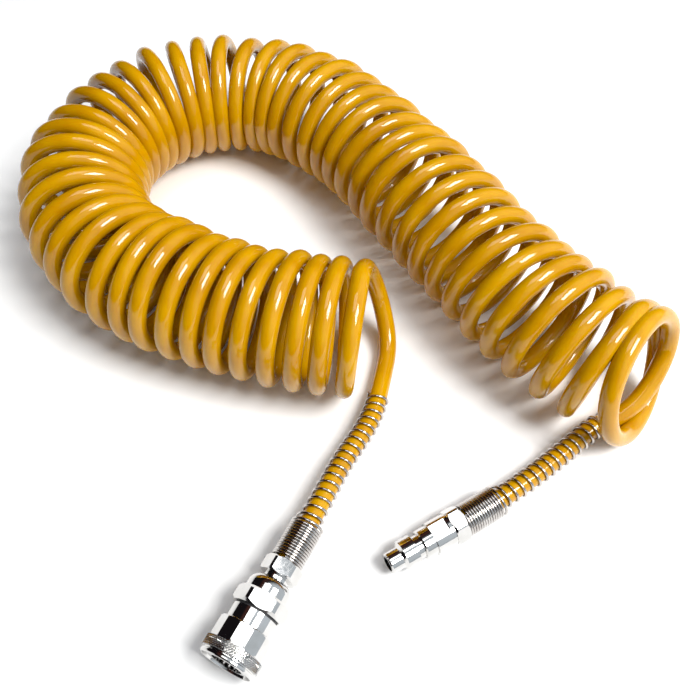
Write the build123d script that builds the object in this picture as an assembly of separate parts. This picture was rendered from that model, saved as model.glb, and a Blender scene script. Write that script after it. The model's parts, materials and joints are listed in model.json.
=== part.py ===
from build123d import *
import os
from math import cos, radians, sin, tan

# Coiled air hose with a quick-coupler socket and plug. Millimetres, Z up, floor at Z = 0.

# Hose and its coil
HOSE_D = 8.0
HOSE_BORE_D = 5.0
COIL_D = 60.0
COIL_MEAN_R = (COIL_D - HOSE_D) / 2
COIL_AXIS_Z = COIL_D / 2
COIL_START = (3.2, 102.7)
COIL_HEADING = 175.0
COIL_BENDS = [(98, -24), (35, -24), (187, -159), (62, -25), (98, 0), (54, 18)]  # length, turn in degrees
BEND_SHARE = 0.45  # share of the shorter run that each rounded corner uses

# Couplings: each has its own axis, which starts at the open end and runs towards the hose
SOCKET_MOUTH = (-43.4, -28.8)
SOCKET_HEADING = 62.2
SOCKET_ROLL = 11.0  # the socket lies turned this much about its own axis
SOCKET_LENGTH = 41.0
PLUG_TIP = (14.2, 8.8)
PLUG_HEADING = 30.0
PLUG_LENGTH = 34.0
HOSE_INSERT = 5.0  # hose inside each nut
STRAIGHT_OUT = 20.0  # straight hose behind each nut

# Spring guards
WIRE_D = 1.1
GUARD_TAPER = 2.0
GUARD_BASE_R = 6.75
GUARD_BASE_LENGTH = 17.0
GUARD_R = HOSE_D / 2 + WIRE_D

# Socket, radii and stations from its mouth
BORE_R = 6.05
CAGE_R = 7.6
CAGE_FACE_X = 0.6
SHOULDER_R = 9.0
SHOULDER_X = 13.2
FRONT_BODY_END = 19.7
GASKET_T = 0.8
REAR_HEX_AF = 19.4
REAR_HEX_LENGTH = 6.2
REAR_DOME_R = 8.9
REAR_DOME_END = 33.2
NECK_R = 5.0
THREAD_R = 4.8
NUT_LENGTH = 6.0
NUT_LIP = 2.5
SOCKET_NUT_AF = 14.0
SPIGOT_R = 6.6
VALVE_BORE_R = 4.7
RUNNING_GAP = 0.06
SOCKET_Z = 11.3  # the knurled band of the sleeve rests on the floor

# Sleeve
SLEEVE_LENGTH = 14.2
SLEEVE_RING_R = 10.8
KNURL_R = SOCKET_Z
SLEEVE_SIDES = 12
SLEEVE_AF = 20.6
SLEEVE_LAND_X = (6.45, 7.9)
SLEEVE_RAMP_X = (0.4, 5.3)
KNURL_X = (2.2, 6.0)
EDGE = 0.5  # usual chamfer
SNAP_RING_X = (5.8, 6.4)
SNAP_RING_DEPTH = 0.5
SNAP_RING_LIP = 0.2

# Locking balls
BALL_R = 1.6
BALL_X = 3.8
BALL_CENTRE_R = 6.75
BALL_COUNT = 6
BALL_HOLE_GAP = 0.05
BALL_TRACK_X = (2.0, 5.6)
BALL_TRACK_R = 6.25  # relief in the bore where the ball holes break through
BALL_RAMP = 0.35  # lift of the balls for each millimetre that the sleeve slides back
BALL_RAMP_GAP = 0.15

# Valve
PACKING_X = (12.6, 15.1)
PACKING_R = 4.3
PACKING_SEAT_R = 6.4
POPPET_X = 15.2
POPPET_T = 1.5
POPPET_GUIDE_R = 1.9
POPPET_GUIDE_LENGTH = 3.0
CHAMBER_END_X = 29.5
SPRING_GAP = 0.05  # between a spring's end and its seat
SPRING_SIDE_GAP = 0.3

# Hose stem shared by both couplings
STEM_R = HOSE_BORE_D / 2
PASSAGE_R = 1.7
BARB_LENGTH = 15.0

# Plug, radii and stations from its tip
NOSE_R = 4.2
RING_R = 5.95
GROOVE_R = 4.6
COLLAR_R = 5.9
PLUG_BODY_R = 6.6
PLUG_FLATS = 11.4
PLUG_NUT_AF = 13.5
PLUG_BORE_R = 2.9
PLUG_Z = PLUG_NUT_AF / 2
PLUG_RING_X = (5.4, 12.2)
PLUG_GROOVE_END = 14.6
PLUG_FLATS_X = (19.5, 26.6)
HEX_EASE = 0.055  # share of a hexagon's size that its corners are eased by


def on_axis(start, heading, distance, height):
    """A point on a coupling's axis."""
    turn = radians(heading)
    return (start[0] + distance * cos(turn), start[1] + distance * sin(turn), height)


def socket_point(distance):
    return on_axis(SOCKET_MOUTH, SOCKET_HEADING, distance, SOCKET_Z)


def plug_point(distance):
    return on_axis(PLUG_TIP, PLUG_HEADING, distance, PLUG_Z)


# Hose from the top of the coil's first turn to the socket: a loose half turn, then along the floor
SOCKET_ROUTE = [
    (3.2, 102.7, 56.0), (4.6, 113.5, 56.0), (7.6, 128.6, 40.8), (13.8, 128.3, 19.2), (18.0, 113.3, 4.2),
    (14.3, 93.8, 4.4), (9.3, 71.8, 6.2), (-3.2, 51.8, 8.5),
    socket_point(SOCKET_LENGTH + STRAIGHT_OUT), socket_point(SOCKET_LENGTH - HOSE_INSERT),
]
SOCKET_GUARD_FROM = 6  # the guard starts half way along the run to this point

# Hose from the top of the coil's last turn to the plug: one loose turn, then out between the turns
PLUG_ROUTE = [
    (106.8, 86.5, 56.0), (113.8, 94.5, 56.0), (126.8, 103.8, 40.8), (133.3, 99.1, 19.2), (130.0, 82.7, 4.2),
    (117.7, 65.0, 4.2), (103.9, 56.2, 19.2), (97.9, 60.6, 40.8), (104.4, 74.7, 56.0), (118.3, 91.2, 56.0),
    (131.5, 99.2, 42.0), (135.0, 95.4, 24.0), (125.8, 80.8, 14.0), (114.8, 72.3, 9.0), (103.8, 69.3, 6.4),
    (86.8, 54.8, 6.0), plug_point(PLUG_LENGTH + STRAIGHT_OUT), plug_point(PLUG_LENGTH - HOSE_INSERT),
]
PLUG_GUARD_FROM = 13


def turned(outline):
    """A solid of revolution about X from its (x, radius) outline."""
    return revolve(make_face(Plane.XZ * Polyline(*outline, close=True)), Axis.X)


def ring(start, end, outer, inner=0.0):
    return turned([(start, inner), (end, inner), (end, outer), (start, outer)])


def bar(start, end, across_flats, sides=6):
    """A prism along X that stands on one of its flats."""
    section = RegularPolygon(across_flats / 2, sides, major_radius=False)
    return Pos(start, 0, 0) * Rot(0, 90, 0) * extrude(Rot(0, 0, 180 / sides) * section, end - start)


def eased(start, end, outer, ease):
    """A round blank with eased corners, which trims the corners of a prism."""
    return turned([
        (start, 0), (start, outer - ease), (start + ease, outer),
        (end - ease, outer), (end, outer - ease), (end, 0),
    ])


def hexagon(start, end, across_flats):
    """A hexagon whose corners are eased at both ends."""
    ease = across_flats * HEX_EASE
    return bar(start, end, across_flats) & eased(start, end, across_flats / 2 + ease, ease)


def bend_radii(points):
    """Each corner's arc is as large as its two runs allow."""
    radii = []
    for before, corner, after in zip(points, points[1:], points[2:]):
        arriving = Vector(*corner) - Vector(*before)
        leaving = Vector(*after) - Vector(*corner)
        half_turn = radians(arriving.get_angle(leaving)) / 2
        radii.append(BEND_SHARE * min(arriving.length, leaving.length) / tan(half_turn))
    return radii


def swept(path, radius):
    return sweep(Plane(path @ 0, z_dir=path % 0) * Circle(radius), path=path)


def coil_path():
    """The coil's own axis, a chain of tangent arcs on one level."""
    point = Vector(*COIL_START, COIL_AXIS_Z)
    heading = Vector(1, 0, 0).rotate(Axis.Z, COIL_HEADING)
    edges = []
    for length, turn in COIL_BENDS:
        if turn:
            edge = JernArc(point, heading, length / radians(abs(turn)), turn)
        else:
            edge = Line(point, point + heading * length)
        edges.append(edge)
        point, heading = edge @ 1, edge % 1
    return Wire(edges)


def route_path(points, guard_from=None):
    """A route's runs and arcs, or only the part of it inside the guard."""
    radii = bend_radii(points)
    if guard_from is None:
        return FilletPolyline(*points, radius=radii)
    middle = (Vector(*points[guard_from - 1]) + Vector(*points[guard_from])) / 2
    return FilletPolyline(middle, *points[guard_from:], radius=radii[guard_from - 1:])


def placed(part, start, heading, height, roll=0.0):
    return Pos(start[0], start[1], height) * Rot(0, 0, heading) * Rot(roll, 0, 0) * part


def at_socket(part):
    return placed(part, SOCKET_MOUTH, SOCKET_HEADING, SOCKET_Z, SOCKET_ROLL)


def at_plug(part):
    return placed(part, PLUG_TIP, PLUG_HEADING, PLUG_Z)


def stem(start):
    """The barbed tube that goes into the hose."""
    tip = start + BARB_LENGTH
    return turned([(start, 0), (tip, 0), (tip, STEM_R - EDGE), (tip - 2 * EDGE, STEM_R), (start, STEM_R)])


def front_body():
    """Ball cage and shoulder, bored for the plug, the packing and the rear body's spigot."""
    track_start, track_end = BALL_TRACK_X
    packing_start = PACKING_X[0]
    body = turned([
        (CAGE_FACE_X, BORE_R), (track_start, BORE_R), (track_start, BALL_TRACK_R), (track_end, BALL_TRACK_R),
        (track_end, BORE_R), (packing_start, BORE_R), (packing_start, PACKING_SEAT_R),
        (POPPET_X, PACKING_SEAT_R), (POPPET_X, SPIGOT_R), (FRONT_BODY_END, SPIGOT_R),
        (FRONT_BODY_END, SHOULDER_R), (SHOULDER_X + EDGE, SHOULDER_R), (SHOULDER_X, SHOULDER_R - EDGE),
        (SHOULDER_X, CAGE_R), (CAGE_FACE_X, CAGE_R),
    ])
    upright = (Align.CENTER, Align.CENTER, Align.MIN)
    hole = Pos(BALL_X, 0, 0) * Cylinder(BALL_R + BALL_HOLE_GAP, CAGE_R * 2, align=upright)
    for index in range(BALL_COUNT):
        body -= Rot(ball_angle(index), 0, 0) * hole
    return body - snap_ring()


def snap_ring():
    """Stops the sleeve's land from sliding off the front."""
    return ring(*SNAP_RING_X, CAGE_R + SNAP_RING_LIP, CAGE_R - SNAP_RING_DEPTH)


def ball_angle(index):
    return (index + 0.5) * 360 / BALL_COUNT


def ball(index):
    return Rot(ball_angle(index), 0, 0) * Pos(BALL_X, 0, BALL_CENTRE_R) * Sphere(BALL_R)


def dome(start, end, outer, inner):
    """A round shoulder that curves in to the neck."""
    bend = outer - inner
    side = Polyline((end, inner), (end, 0), (start, 0), (start, outer), (end - bend, outer))
    outline = side + JernArc((end - bend, outer), (1, 0), bend, -90)
    return revolve(make_face(Plane.XZ * outline), Axis.X)


def rear_body():
    """Hexagon, spigot with the valve chamber, rounded shoulder, neck and barbed stem."""
    hex_start = FRONT_BODY_END + GASKET_T
    hex_end = hex_start + REAR_HEX_LENGTH
    neck_end = SOCKET_LENGTH - NUT_LENGTH
    hose_end = SOCKET_LENGTH - HOSE_INSERT
    body = hexagon(hex_start, hex_end, REAR_HEX_AF) + ring(POPPET_X, hex_start, SPIGOT_R)
    body += dome(hex_end, REAR_DOME_END, REAR_DOME_R, NECK_R) + ring(REAR_DOME_END, neck_end, NECK_R)
    body += ring(neck_end, hose_end, THREAD_R) + stem(hose_end)
    body -= ring(POPPET_X, CHAMBER_END_X, VALVE_BORE_R)
    return body - ring(CHAMBER_END_X, SOCKET_LENGTH + BARB_LENGTH, PASSAGE_R)


def sleeve():
    """Front ring, knurled band and twelve-sided grip, hollow for the balls and the spring."""
    mouth_r, throat_r = (ramp_radius(x) for x in SLEEVE_RAMP_X)
    knurl_start, knurl_end = KNURL_X
    front = turned([
        (0, 0), (0, SLEEVE_RING_R - EDGE), (EDGE, SLEEVE_RING_R), (knurl_start - 2 * EDGE, SLEEVE_RING_R),
        (knurl_start, SLEEVE_RING_R - EDGE), (knurl_start, KNURL_R - EDGE), (knurl_start + EDGE, KNURL_R),
        (knurl_end - EDGE, KNURL_R), (knurl_end, KNURL_R - EDGE), (knurl_end, 0),
    ])
    grip = bar(knurl_end, SLEEVE_LENGTH, SLEEVE_AF, SLEEVE_SIDES)
    grip &= eased(knurl_end - 2 * EDGE, SLEEVE_LENGTH, SLEEVE_AF / 2 + EDGE / 2, 2 * EDGE)
    hollow = turned([
        (-1, 0), (-1, mouth_r), (SLEEVE_RAMP_X[0], mouth_r), (SLEEVE_RAMP_X[1], throat_r),
        (SLEEVE_LAND_X[0], throat_r), (SLEEVE_LAND_X[0], CAGE_R + RUNNING_GAP),
        (SLEEVE_LAND_X[1], CAGE_R + RUNNING_GAP), (SLEEVE_LAND_X[1], SHOULDER_R + RUNNING_GAP),
        (SLEEVE_LENGTH, SHOULDER_R + RUNNING_GAP), (SLEEVE_LENGTH, 0),
    ])
    return front + grip - hollow


def ramp_radius(x):
    """The sleeve's inner cone, which follows the balls outwards as the sleeve slides back."""
    return BALL_CENTRE_R + BALL_R + BALL_RAMP_GAP - BALL_RAMP * (x - BALL_X)


def sleeve_spring():
    start, end = SLEEVE_LAND_X[1] + SPRING_GAP, SHOULDER_X - SPRING_GAP
    return ring(start, end, SHOULDER_R - SPRING_SIDE_GAP, CAGE_R + SPRING_SIDE_GAP)


def poppet():
    """Valve disc with a guide behind it."""
    start = POPPET_X + SPRING_GAP
    end = start + POPPET_T
    disc = ring(start, end, VALVE_BORE_R - RUNNING_GAP)
    return disc + ring(end, end + POPPET_GUIDE_LENGTH, POPPET_GUIDE_R)


def valve_spring():
    start = POPPET_X + POPPET_T + 2 * SPRING_GAP
    end = CHAMBER_END_X - SPRING_GAP
    return ring(start, end, VALVE_BORE_R - EDGE, POPPET_GUIDE_R + EDGE)


def nut(length, across_flats):
    """Hexagon nut that ends at X = length, bored for the thread, the ferrule and the hose."""
    start = length - NUT_LENGTH
    body = hexagon(start, length, across_flats)
    return body - ring(start, length - NUT_LIP, THREAD_R) - ring(start, length, HOSE_D / 2)


def ferrule(length):
    """Clamping ring between the nut and the hose."""
    return ring(length - HOSE_INSERT, length - NUT_LIP, THREAD_R, HOSE_D / 2)


def plug_body():
    """Nose, locking ring and groove, collar, flatted body, neck and barbed stem."""
    ring_start, ring_end = PLUG_RING_X
    flats, neck = PLUG_FLATS_X
    hose_end = PLUG_LENGTH - HOSE_INSERT
    blank = turned([
        (0, 0), (0, NOSE_R - EDGE), (EDGE, NOSE_R), (ring_start, NOSE_R), (ring_start + 2 * EDGE, RING_R),
        (ring_end - EDGE, RING_R), (ring_end, GROOVE_R), (PLUG_GROOVE_END, GROOVE_R),
        (PLUG_GROOVE_END, COLLAR_R - EDGE), (PLUG_GROOVE_END + EDGE, COLLAR_R), (flats, COLLAR_R),
        (flats, PLUG_BODY_R), (neck, PLUG_BODY_R), (neck, THREAD_R), (hose_end, THREAD_R), (hose_end, 0),
    ])
    block = Pos((flats + neck) / 2, 0, 0) * Box(neck - flats, PLUG_BODY_R * 3, PLUG_FLATS)
    body = blank - (ring(flats, neck, PLUG_BODY_R * 2) - block) + stem(hose_end)
    return body - ring(0, flats, PLUG_BORE_R) - ring(flats, PLUG_LENGTH + BARB_LENGTH, PASSAGE_R)


def plug_washer():
    return ring(PLUG_FLATS_X[1], PLUG_LENGTH - NUT_LENGTH, PLUG_Z - EDGE / 2, THREAD_R)


def hose_tail(tube, length, place):
    """A hose tube with room for the coupling's stem inside its end."""
    hose_end = length - HOSE_INSERT
    return tube - place(ring(hose_end, hose_end + BARB_LENGTH, STEM_R))


def guard(path, length, place, tube):
    """Plain sleeve of the spring guard: its close-wound base and its open coils round the hose."""
    base_end = length + GUARD_BASE_LENGTH
    base = place(ring(length, base_end, GUARD_BASE_R, GUARD_BASE_R - WIRE_D))
    inside = place(ring(length - NUT_LENGTH, base_end, GUARD_BASE_R - WIRE_D))
    taper_end = base_end + GUARD_TAPER
    taper = place(turned([(base_end, 0), (base_end, GUARD_BASE_R), (taper_end, GUARD_R), (taper_end, 0)]))
    return swept(path, GUARD_R) - inside + taper + base - tube


def gasket():
    return ring(FRONT_BODY_END, FRONT_BODY_END + GASKET_T, SHOULDER_R - EDGE, SPIGOT_R)


def socket_parts():
    parts = {
        "socket_front_body": front_body(),
        "socket_rear_body": rear_body(),
        "socket_gasket": gasket(),
        "socket_packing": ring(*PACKING_X, PACKING_SEAT_R, PACKING_R),
        "socket_snap_ring": snap_ring(),
        "socket_nut": nut(SOCKET_LENGTH, SOCKET_NUT_AF),
        "socket_ferrule": ferrule(SOCKET_LENGTH),
        "socket_sleeve": sleeve(),
        "sleeve_spring": sleeve_spring(),
        "valve_poppet": poppet(),
        "valve_spring": valve_spring(),
    }
    for index in range(BALL_COUNT):
        parts[f"locking_ball_{index + 1}"] = ball(index)
    return {name: at_socket(part) for name, part in parts.items()}


def plug_parts():
    parts = {
        "plug_body": plug_body(),
        "plug_washer": plug_washer(),
        "plug_nut": nut(PLUG_LENGTH, PLUG_NUT_AF),
        "plug_ferrule": ferrule(PLUG_LENGTH),
    }
    return {name: at_plug(part) for name, part in parts.items()}


def hose_end(name, route, guard_from, length, place):
    """One uncoiled end of the hose with its spring guard."""
    path = route_path(route)
    tube = swept(path, HOSE_D / 2)
    print(name, "bend radii", [round(radius, 1) for radius in bend_radii(route)])
    print(name, "volume over section times length", tube.volume / (Circle(HOSE_D / 2).area * path.length))
    return {
        f"hose_tail_{name}": hose_tail(tube, length, place),
        f"guard_{name}": guard(route_path(route, guard_from), length, place, tube),
    }


def main():
    os.makedirs("parts", exist_ok=True)
    parts = {"hose_coil": swept(coil_path(), COIL_D / 2), **socket_parts(), **plug_parts()}
    parts |= hose_end("socket", SOCKET_ROUTE, SOCKET_GUARD_FROM, SOCKET_LENGTH, at_socket)
    parts |= hose_end("plug", PLUG_ROUTE, PLUG_GUARD_FROM, PLUG_LENGTH, at_plug)
    for name, part in parts.items():
        export_step(part, f"parts/{name}.step")
        box = part.bounding_box()
        print(f"{name}: {part.volume:.1f} mm3, {len(part.solids())} solid, {box.min} to {box.max}")


main()
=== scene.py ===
import json
from bisect import bisect_left
from math import cos, pi, radians, sin, tau

import bpy
from mathutils import Matrix, Vector


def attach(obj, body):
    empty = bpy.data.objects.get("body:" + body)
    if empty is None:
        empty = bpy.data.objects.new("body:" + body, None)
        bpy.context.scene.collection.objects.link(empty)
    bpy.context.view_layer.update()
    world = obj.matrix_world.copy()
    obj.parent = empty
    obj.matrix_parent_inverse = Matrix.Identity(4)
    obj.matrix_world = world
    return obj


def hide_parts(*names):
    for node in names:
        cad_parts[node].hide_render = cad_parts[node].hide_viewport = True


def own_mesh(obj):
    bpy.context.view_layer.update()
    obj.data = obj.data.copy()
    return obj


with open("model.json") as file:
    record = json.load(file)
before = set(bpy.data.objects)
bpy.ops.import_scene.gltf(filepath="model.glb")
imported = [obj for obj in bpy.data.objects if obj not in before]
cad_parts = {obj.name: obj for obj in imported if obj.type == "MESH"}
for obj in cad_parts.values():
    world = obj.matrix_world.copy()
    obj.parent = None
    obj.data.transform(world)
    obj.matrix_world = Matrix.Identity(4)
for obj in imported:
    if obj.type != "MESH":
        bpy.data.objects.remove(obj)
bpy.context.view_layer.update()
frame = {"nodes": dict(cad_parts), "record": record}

# Lengths are in metres and angles in degrees, except where a comment says millimetres.
ROOT = "hose_and_couplings"
MM = 0.001

# Camera
LENS = 39.47  # millimetres
SENSOR_WIDTH = 36  # millimetres
CAMERA_PLACE = (-0.0002, -0.09158, 0.29189)
CAMERA_TILT = 35  # up from straight down

# Hose
HOSE_D = 0.008
HOSE_INSERT = 0.005  # how far the hose goes into a nut
COIL_MEAN_R = 0.026
COIL_START = (0.0032, 0.1027)
COIL_HEADING = 175.0
COIL_BENDS = [  # length along the axis, turn, number of windings
    (0.098, -24, 9.6), (0.035, -24, 3.1), (0.187, -159, 15.9),
    (0.062, -25, 5.2), (0.098, 0, 7.7), (0.054, 18, 4.5),
]
WINDINGS = 46
POINTS_PER_TURN = 16
SPLINE_PULL = 0.981  # a smooth spline runs this much inside its points on a circle of sixteen
SIZE_WANDER = [(0.0004, 0.9, 0), (0.0003, 2.3, 1)]  # amplitude, radians a winding, phase in radians
PLACE_WANDER = (0.05, 1.7)  # windings back and forth along the axis, radians a winding

# Couplings: their axes start at the open end and run towards the hose
SOCKET_MOUTH = Vector((-0.0434, -0.0288, 0.0113))
SOCKET_HEADING = 62.2
SOCKET_ROLL = 11.0
SOCKET_LENGTH = 0.041
PLUG_TIP = Vector((0.0142, 0.0088, 0.00675))
PLUG_HEADING = 30.0
PLUG_LENGTH = 0.034
STRAIGHT_OUT = 0.020

# Spring guards
WIRE_D = 0.0011
WIRE_GAP = 0.0001  # between the hose's skin and the wire
BASE_OUTER_R = 0.00675
BASE_R = BASE_OUTER_R - WIRE_D / 2
BASE_LENGTH = 0.017
BASE_PITCH = WIRE_D * 1.02  # close-wound: the wire almost touches itself
OPEN_R = HOSE_D / 2 + WIRE_D / 2 + WIRE_GAP
OPEN_PITCH = 0.0039
FLARE_LENGTH = 0.004
PITCH_LEAD = 0.5  # flare lengths by which the pitch opens before the radius closes in
SOCKET_GUARD_END = Vector((0.0118, 0.0828, 0.0053))
PLUG_GUARD_END = Vector((0.1093, 0.0708, 0.0077))

# Springs inside the socket, with their stations from its mouth
SLEEVE_SPRING = {"start": 0.00795, "end": 0.01315, "radius": 0.0083, "wire": 0.0006, "coils": 3.5}
VALVE_SPRING = {"start": 0.0168, "end": 0.02945, "radius": 0.0034, "wire": 0.0007, "coils": 8}

# Steps in curves
STEPS_PER_COIL = 20  # route points in one coil of a wire
FINE_STEPS = 6  # between two route points, and round a quarter of the section
WIRE_STEPS = 2  # the same for the guards, whose route points already lie close together

# Sleeve, in millimetres in its own frame, with its stations from the mouth
SLEEVE_AROUND = 480
SLEEVE_SIDES = 12
SLEEVE_FLAT_R = 10.3
RING_PROFILE = [  # station, radius
    (0.4, 9.69), (0.12, 9.78), (0.0, 9.95), (0.0, 10.2), (0.1, 10.46), (0.3, 10.66), (0.6, 10.78),
    (1.0, 10.8), (1.4, 10.72), (1.62, 10.55), (1.75, 10.2), (2.05, 10.2), (2.15, 10.7),
]
KNURL_X = (2.25, 5.95)
KNURL_ROWS = 26
KNURL_R = 11.3
KNURL_DEPTH = 0.42
KNURL_AROUND = 60
KNURL_RISE = 1.5  # more than 1 leaves the pyramids a small flat top
GROOVE_PROFILE = [(6.05, 10.7), (6.12, 10.05), (6.28, 10.05)]
GRIP_X = (6.3, 14.2)
GRIP_ROWS = (0, 0.03, 0.07, 0.3, 0.6, 0.86)  # shares of the grip's length
GRIP_EASE = 1.1  # length of the rounded rear end
GRIP_EASE_ROWS = 8
GRIP_REAR_DROP = 0.9
GRIP_FRONT_DROP = 0.25
BORE_PROFILE = [(14.2, 9.06), (7.9, 9.06), (7.9, 7.66), (6.45, 7.66), (6.45, 7.975), (5.3, 7.975)]
SHARP_ANGLE = 14

# Room
FLOOR_SIZE = 6
BRIGHT_SIDE = (0.70, -0.20, 0.62)  # the way to the bright part of the room
ROOM_COLOURS = [  # how far towards the bright side, colour
    (0.0, (0.012, 0.010, 0.012)), (0.18, (0.085, 0.030, 0.022)),
    (0.42, (0.03, 0.028, 0.03)), (0.75, (0.85, 0.93, 1.0)),
]
ROOM_STRENGTH = 0.8

# Most of a noise pattern lies between these two values
NOISE_LOW = 0.3
NOISE_HIGH = 0.7


def unit(heading):
    return Vector((cos(radians(heading)), sin(radians(heading)), 0))


def socket_point(distance):
    return SOCKET_MOUTH + unit(SOCKET_HEADING) * distance


def plug_point(distance):
    return PLUG_TIP + unit(PLUG_HEADING) * distance


SOCKET_ROUTE = [  # from the coil to the socket
    (0.0046, 0.1135, 0.0560), (0.0076, 0.1286, 0.0408), (0.0138, 0.1283, 0.0192),
    (0.0180, 0.1133, 0.0042), (0.0143, 0.0938, 0.0044), (0.0093, 0.0718, 0.0062),
    (-0.0032, 0.0518, 0.0085),
    socket_point(SOCKET_LENGTH + STRAIGHT_OUT), socket_point(SOCKET_LENGTH - HOSE_INSERT),
]
PLUG_ROUTE = [  # from the coil to the plug
    (0.1138, 0.0945, 0.0560), (0.1268, 0.1038, 0.0408), (0.1333, 0.0991, 0.0192),
    (0.1300, 0.0827, 0.0042), (0.1177, 0.0650, 0.0042), (0.1039, 0.0562, 0.0192),
    (0.0979, 0.0606, 0.0408), (0.1044, 0.0747, 0.0560), (0.1183, 0.0912, 0.0560),
    (0.1315, 0.0992, 0.0420), (0.1350, 0.0954, 0.0240), (0.1258, 0.0808, 0.0140),
    (0.1148, 0.0723, 0.0090), (0.1038, 0.0693, 0.0064), (0.0868, 0.0548, 0.0060),
    plug_point(PLUG_LENGTH + STRAIGHT_OUT), plug_point(PLUG_LENGTH - HOSE_INSERT),
]


def add_object(name, data):
    """A new object of that data in the scene."""
    made = bpy.data.objects.new(name, data)
    bpy.context.collection.objects.link(made)
    return made


def add_camera():
    data = bpy.data.cameras.new("camera")
    data.lens = LENS
    data.sensor_width = SENSOR_WIDTH
    camera = add_object("camera", data)
    camera.location = CAMERA_PLACE
    camera.rotation_euler = (radians(CAMERA_TILT), 0, 0)
    bpy.context.scene.camera = camera


# ---------------------------------------------------------------- hose

def chord(length, heading, bend):
    """From start to end of an arc of that length that turns by bend degrees."""
    half = radians(bend) / 2
    straight = length * (sin(half) / half if half else 1)
    return unit(heading + bend / 2) * straight


def coil_axis(winding):
    """The point on the coil's axis, and the heading there, after so many windings."""
    point = Vector((*COIL_START, 0))
    heading = COIL_HEADING
    for length, bend, windings in COIL_BENDS:
        share = min(winding, windings) / windings
        point += chord(length * share, heading, bend * share)
        heading += bend * share
        winding -= windings
        if winding <= 0:
            break
    return point, heading


def coil_points():
    """Route points of the neat windings, which differ a little in size and spacing."""
    points = []
    reach, pace = PLACE_WANDER
    for index in range(WINDINGS * POINTS_PER_TURN + 1):
        winding = index / POINTS_PER_TURN
        angle = pi / 2 - tau * winding
        wander = sum(size * sin(winding * rate + phase) for size, rate, phase in SIZE_WANDER)
        centre, heading = coil_axis(winding + reach * sin(winding * pace))
        radius = (COIL_MEAN_R + wander) / SPLINE_PULL
        left = unit(heading + 90)
        rise = COIL_MEAN_R + wander + HOSE_D / 2
        up = Vector((0, 0, rise + radius * sin(angle)))
        points.append(centre + left * radius * cos(angle) + up)
    return points


def add_curve(name, points, width, steps=FINE_STEPS):
    """One open smooth spline. Its order and ends are set once it has all its points."""
    data = bpy.data.curves.new(name, "CURVE")
    data.dimensions = "3D"
    spline = data.splines.new("NURBS")
    spline.points.add(len(points) - 1)
    for spot, point in zip(spline.points, points):
        spot.co = (*point, 1)
        spot.radius = width / 2
    spline.order_u = 3
    spline.use_endpoint_u = True
    data.resolution_u = steps
    data.bevel_depth = 1 if width else 0
    data.bevel_resolution = steps
    data.use_fill_caps = True
    return add_object(name, data)


def as_mesh(curve, name):
    """The curve's surface as a mesh object."""
    mesh = bpy.data.meshes.new_from_object(curve)
    bpy.data.objects.remove(curve)
    mesh.shade_smooth()
    return add_object(name, mesh)


def centreline(points):
    """The points that a hose through these route points really follows."""
    curve = add_curve("centreline", points, 0)
    mesh = bpy.data.meshes.new_from_object(curve)
    line = [vertex.co.copy() for vertex in mesh.vertices]
    bpy.data.objects.remove(curve)
    bpy.data.meshes.remove(mesh)
    return line


# ---------------------------------------------------------------- wires

def distances(line):
    """How far along the line each of its points lies."""
    total = [0.0]
    for before, after in zip(line, line[1:]):
        total.append(total[-1] + (after - before).length)
    return total


def directions_across(line):
    """Two directions across the line at each of its points, carried along without twist."""
    across = Vector((0, 0, 1))
    pairs = []
    for index in range(len(line)):
        along = (line[min(index + 1, len(line) - 1)] - line[max(index - 1, 0)]).normalized()
        across = (across - along * across.dot(along)).normalized()
        pairs.append((across, along.cross(across)))
    return pairs


def smooth(share):
    """Eases from 0 to 1 as the share does, and stays there."""
    share = max(0.0, min(1.0, share))
    return share * share * (3 - 2 * share)


def wire_points(line, end):
    """A guard's wire: close-wound at the nut, then open and hugging the hose up to the end."""
    length_at = distances(line)
    pairs = directions_across(line)
    nearest = min(range(len(line)), key=lambda index: (line[index] - end).length)
    finish = length_at[nearest]
    base_end = HOSE_INSERT + BASE_LENGTH
    points = []
    place = HOSE_INSERT + WIRE_D / 2
    angle = 0.0
    while place < finish:
        index = max(1, bisect_left(length_at, place))
        share = (place - length_at[index - 1]) / (length_at[index] - length_at[index - 1])
        centre = line[index - 1].lerp(line[index], share)
        across, side = pairs[index]
        flare = (place - base_end) / FLARE_LENGTH
        radius = BASE_R + (OPEN_R - BASE_R) * smooth(flare)
        points.append(centre + (across * cos(angle) + side * sin(angle)) * radius)
        pitch = BASE_PITCH + (OPEN_PITCH - WIRE_D) * smooth(flare + PITCH_LEAD)
        place += pitch / STEPS_PER_COIL
        angle += tau / STEPS_PER_COIL
    return points


def spring_points(start, end, radius, wire, coils):
    """A compression spring about the socket's axis, with half a coil lying flat at each end."""
    along = unit(SOCKET_HEADING)
    left = unit(SOCKET_HEADING + 90)
    points = []
    for step in range(int(coils * STEPS_PER_COIL) + 1):
        turn = step / STEPS_PER_COIL
        rise = max(0.0, min(1.0, (turn - 0.5) / (coils - 1)))
        place = start + wire / 2 + (end - start - wire) * rise
        angle = tau * turn
        outwards = left * cos(angle) + Vector((0, 0, sin(angle)))
        points.append(socket_point(0) + along * place + outwards * radius)
    return points


# ---------------------------------------------------------------- sleeve

def triangle_wave(value):
    return abs(value % 1 * 2 - 1)


def knurl_radius(x, around):
    """Pyramids where two families of grooves cross."""
    steps = KNURL_AROUND * around
    lean = x * KNURL_AROUND / (tau * KNURL_R)
    height = min(triangle_wave(steps + lean), triangle_wave(steps - lean))
    return KNURL_R - KNURL_DEPTH + KNURL_DEPTH * min(1.0, KNURL_RISE * height)


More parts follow.
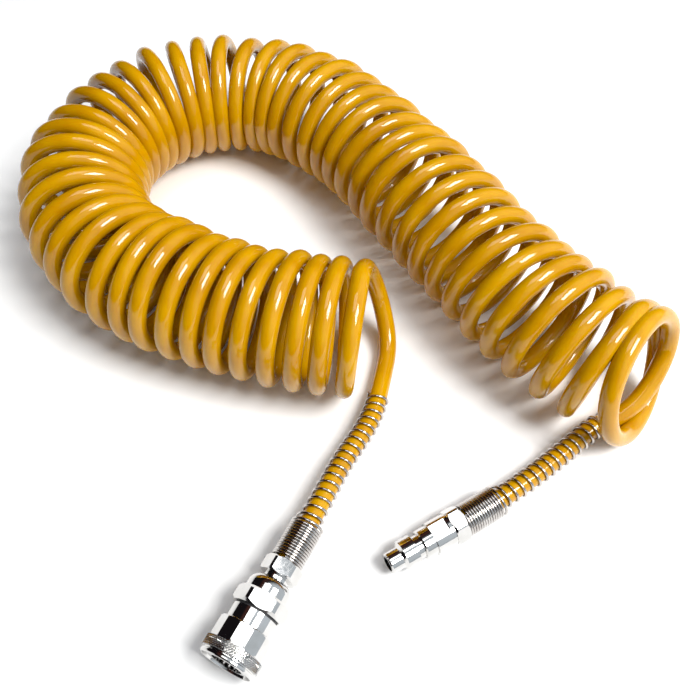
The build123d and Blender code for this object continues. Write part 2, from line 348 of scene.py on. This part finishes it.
def grip_radius(x, around):
    """A twelve-sided bar, rounded off at its rear end and a little at its front."""
    start, end = GRIP_X
    corner = tau / SLEEVE_SIDES
    off_flat = (around * tau + corner / 2) % corner - corner / 2
    flat = SLEEVE_FLAT_R / cos(off_flat)
    from_end = max(0.0, GRIP_EASE - (end - x)) / GRIP_EASE
    from_start = max(0.0, GRIP_EASE / 2 - (x - start)) / GRIP_EASE * 2
    rear_drop = GRIP_REAR_DROP * (1 - (1 - from_end ** 2) ** 0.5)
    blank = SLEEVE_FLAT_R / cos(corner / 2) - rear_drop - GRIP_FRONT_DROP * from_start
    return min(flat, blank)


def round_rows(profile):
    """A row for each station of a profile, as round as a turned part."""
    return [(x, lambda x, around, r=r: r) for x, r in profile]


def sleeve_rows():
    """Each ring of the sleeve's skin: its station and the function that gives its radius."""
    rows = round_rows(RING_PROFILE)
    start, end = KNURL_X
    rows += [
        (start + (end - start) * step / KNURL_ROWS, knurl_radius) for step in range(KNURL_ROWS + 1)
    ]
    rows += round_rows(GROOVE_PROFILE)
    start, end = GRIP_X
    rows += [(start + share * (end - start), grip_radius) for share in GRIP_ROWS]
    rows += [
        (end - GRIP_EASE * (1 - sin(pi / 2 * step / GRIP_EASE_ROWS)), grip_radius)
        for step in range(GRIP_EASE_ROWS + 1)
    ]
    return rows + round_rows(BORE_PROFILE)


def add_sleeve():
    """Ring, diamond knurl and grip as one closed skin."""
    heading = Matrix.Rotation(radians(SOCKET_HEADING), 4, "Z")
    roll = Matrix.Rotation(radians(SOCKET_ROLL), 4, "X")
    place = Matrix.Translation(SOCKET_MOUTH) @ (heading @ roll)
    vertices = []
    rows = sleeve_rows()
    for x, radius_at in rows:
        for step in range(SLEEVE_AROUND):
            around = step / SLEEVE_AROUND
            radius = radius_at(x, around) * MM
            angle = tau * around
            vertices.append(place @ Vector((x * MM, -radius * sin(angle), radius * cos(angle))))
    faces = []
    for row in range(len(rows)):
        here = row * SLEEVE_AROUND
        beyond = (row + 1) % len(rows) * SLEEVE_AROUND
        for step in range(SLEEVE_AROUND):
            after = (step + 1) % SLEEVE_AROUND
            faces.append((here + step, here + after, beyond + after, beyond + step))
    mesh = bpy.data.meshes.new("knurled_sleeve")
    mesh.from_pydata(vertices, [], faces)
    mesh.update()
    sleeve = add_object("knurled_sleeve", mesh)
    mesh.shade_smooth()
    mesh.set_sharp_from_angle(angle=radians(SHARP_ANGLE))
    return sleeve


# ---------------------------------------------------------------- materials

def new_material(name, colour, rough, metallic=0.0):
    """A principled material. Returns it with its node tree and shader."""
    made = bpy.data.materials.new(name)
    made.use_nodes = True
    tree = made.node_tree
    shader = tree.nodes["Principled BSDF"]
    shader.inputs["Base Color"].default_value = (*colour, 1)
    shader.inputs["Roughness"].default_value = rough
    shader.inputs["Metallic"].default_value = metallic
    return made, tree, shader


def noise(tree, scale, detail=3.0, stretch=(1, 1, 1)):
    """A noise pattern fixed in the object, with so many cells in a metre."""
    place = tree.nodes.new("ShaderNodeTexCoord")
    mapping = tree.nodes.new("ShaderNodeMapping")
    mapping.inputs["Scale"].default_value = stretch
    pattern = tree.nodes.new("ShaderNodeTexNoise")
    pattern.inputs["Scale"].default_value = scale
    pattern.inputs["Detail"].default_value = detail
    tree.links.new(place.outputs["Object"], mapping.inputs["Vector"])
    tree.links.new(mapping.outputs["Vector"], pattern.inputs["Vector"])
    return pattern.outputs["Fac"]


def add_ramp(tree, value, stops):
    """A colour ramp. Its own two stops take the first and last, and the rest go between them."""
    ramp = tree.nodes.new("ShaderNodeValToRGB")
    elements = ramp.color_ramp.elements
    for index, (position, colour) in enumerate((stops[0], stops[-1])):
        elements[index].position = position
        elements[index].color = (*colour, 1)
    for position, colour in stops[1:-1]:
        elements.new(position).color = (*colour, 1)
    tree.links.new(value, ramp.inputs["Fac"])
    return ramp.outputs["Color"]


def vary_colour(tree, shader, pattern, dark, light):
    colour = add_ramp(tree, pattern, [(NOISE_LOW, dark), (NOISE_HIGH, light)])
    tree.links.new(colour, shader.inputs["Base Color"])


def vary_roughness(tree, shader, pattern, low, high):
    limits = tree.nodes.new("ShaderNodeMapRange")
    limits.inputs["From Min"].default_value = NOISE_LOW
    limits.inputs["From Max"].default_value = NOISE_HIGH
    limits.inputs["To Min"].default_value = low
    limits.inputs["To Max"].default_value = high
    tree.links.new(pattern, limits.inputs["Value"])
    tree.links.new(limits.outputs["Result"], shader.inputs["Roughness"])


def add_bump(tree, shader, pattern, strength, depth):
    bump = tree.nodes.new("ShaderNodeBump")
    bump.inputs["Strength"].default_value = strength
    bump.inputs["Distance"].default_value = depth
    tree.links.new(pattern, bump.inputs["Height"])
    tree.links.new(bump.outputs["Normal"], shader.inputs["Normal"])


def metal(name, dark, light, rough):
    """Plated or polished metal: faint clouding, uneven polish and fine scratches."""
    made, tree, shader = new_material(name, light, rough[0], metallic=1)
    vary_colour(tree, shader, noise(tree, scale=140), dark, light)
    vary_roughness(tree, shader, noise(tree, scale=900, detail=4), *rough)
    scratches = noise(tree, scale=2500, detail=2, stretch=(1, 1, 6))
    add_bump(tree, shader, scratches, strength=0.35, depth=0.000004)
    return made


def polyurethane():
    """Translucent yellow hose: light spreads inside it and its skin is glossy."""
    made, tree, shader = new_material("yellow_polyurethane", (0.52, 0.26, 0.0004), 0.08)
    vary_colour(tree, shader, noise(tree, scale=60), (0.46, 0.215, 0.0002), (0.56, 0.295, 0.0006))
    vary_roughness(tree, shader, noise(tree, scale=400), low=0.03, high=0.09)
    add_bump(tree, shader, noise(tree, scale=500, detail=2), strength=0.25, depth=0.00003)
    shader.inputs["Subsurface Weight"].default_value = 0.4
    shader.inputs["Subsurface Radius"].default_value = (1.0, 0.55, 0.05)
    shader.inputs["Subsurface Scale"].default_value = 0.003
    return made


def black_rubber():
    """Moulded seals: dull, with a fine grain."""
    made, tree, shader = new_material("black_nitrile", (0.02, 0.02, 0.02), 0.5)
    vary_colour(tree, shader, noise(tree, scale=300), (0.012, 0.012, 0.013), (0.03, 0.03, 0.032))
    vary_roughness(tree, shader, noise(tree, scale=900), low=0.4, high=0.65)
    add_bump(tree, shader, noise(tree, scale=1800), strength=0.3, depth=0.00001)
    return made


# ---------------------------------------------------------------- floor and lights

def add_floor():
    bpy.ops.mesh.primitive_plane_add(size=FLOOR_SIZE, location=(0, 0, 0))
    floor = bpy.context.object
    floor.name = "floor"
    made, tree, shader = new_material("floor", (0.93, 0.93, 0.93), 0.6)
    vary_colour(tree, shader, noise(tree, scale=3), (0.92, 0.92, 0.925), (0.945, 0.945, 0.94))
    floor.data.materials.append(made)


def add_light(name, place, aim, size, power, colour=(1, 1, 1)):
    """A square soft light at a place, turned to a point."""
    data = bpy.data.lights.new(name, "AREA")
    data.size = size
    data.energy = power
    data.color = colour
    light = add_object(name, data)
    light.location = place
    light.rotation_euler = (Vector(aim) - Vector(place)).to_track_quat("-Z", "Y").to_euler()


def add_world():
    """The room that bright metal mirrors: bright above and on the right, dim brown on the left."""
    world = bpy.data.worlds.new("world")
    world.use_nodes = True
    tree = world.node_tree
    place = tree.nodes.new("ShaderNodeTexCoord")
    towards = tree.nodes.new("ShaderNodeVectorMath")
    towards.operation = "DOT_PRODUCT"
    towards.inputs[1].default_value = BRIGHT_SIDE
    tree.links.new(place.outputs["Generated"], towards.inputs[0])
    colour = add_ramp(tree, towards.outputs["Value"], ROOM_COLOURS)
    tree.links.new(colour, tree.nodes["Background"].inputs["Color"])
    tree.nodes["Background"].inputs["Strength"].default_value = ROOM_STRENGTH
    bpy.context.scene.world = world


# ---------------------------------------------------------------- making

def stand_in(piece, nodes, body, material):
    """Gives a piece its body, the CAD nodes that it stands for and its material."""
    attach(piece, body)
    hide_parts(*nodes)
    piece.data.materials.append(material)


def add_spring(name, node, spring, material):
    """A coil spring inside the socket, fixed to the root body in place of its CAD node."""
    piece = as_mesh(add_curve(name, spring_points(**spring), spring["wire"]), name)
    stand_in(piece, [node], ROOT, material)
    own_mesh(piece)


add_camera()
coil = coil_points()
socket_route = [Vector(point) for point in reversed(SOCKET_ROUTE)]
plug_route = [Vector(point) for point in PLUG_ROUTE]
hose = add_curve("hose", socket_route + coil + plug_route, HOSE_D)
socket_wire = wire_points(centreline(socket_route + coil[:3]), SOCKET_GUARD_END)
plug_wire = wire_points(centreline(list(reversed(plug_route)) + coil[-3:]), PLUG_GUARD_END)
socket_guard = add_curve("spring_guard_socket", socket_wire, WIRE_D, WIRE_STEPS)
plug_guard = add_curve("spring_guard_plug", plug_wire, WIRE_D, WIRE_STEPS)

# Metals: dark and light colour, roughness from and to
nickel = metal("bright_nickel", (0.58, 0.57, 0.55), (0.68, 0.67, 0.66), (0.04, 0.12))
guard_wire = metal("plated_wire", (0.42, 0.39, 0.37), (0.60, 0.58, 0.56), (0.10, 0.2))
spring_steel = metal("spring_steel", (0.42, 0.41, 0.40), (0.58, 0.57, 0.56), (0.22, 0.38))
ball_steel = metal("ball_steel", (0.75, 0.75, 0.76), (0.88, 0.88, 0.90), (0.02, 0.06))
brass = metal("turned_brass", (0.68, 0.48, 0.18), (0.83, 0.62, 0.27), (0.18, 0.32))
tube = polyurethane()
SLOT_MATERIALS = {
    "hose": tube, "plated_steel": nickel, "guard_wire": guard_wire, "spring_wire": spring_steel,
    "ball_steel": ball_steel, "valve_brass": brass, "seal": black_rubber(),
}
for subpart in frame["record"]["subparts"]:
    piece = frame["nodes"][subpart["node"]]
    piece.data.materials.clear()
    piece.data.materials.append(SLOT_MATERIALS[subpart["material_slot"]])

stand_in(hose, ["hose_coil", "hose_tail_socket", "hose_tail_plug"], ROOT, tube)
stand_in(socket_guard, ["guard_socket"], ROOT, guard_wire)
stand_in(plug_guard, ["guard_plug"], ROOT, guard_wire)
stand_in(add_sleeve(), ["socket_sleeve"], "sleeve", nickel)
add_spring(
    "sleeve_coil_spring", "sleeve_spring", SLEEVE_SPRING, spring_steel,
)
add_spring(
    "valve_coil_spring", "valve_spring", VALVE_SPRING, spring_steel,
)

add_floor()
add_light(
    "key", place=(0.75, -0.25, 1.15), aim=(-0.03, 0.12, 0), size=0.60, power=25,
    colour=(1, 0.99, 0.97),
)
add_light("ceiling", place=(-0.04, 0.20, 1.00), aim=(-0.04, 0.20, 0), size=0.50, power=2.6)
add_world()
bpy.context.scene.view_settings.view_transform = "Standard"
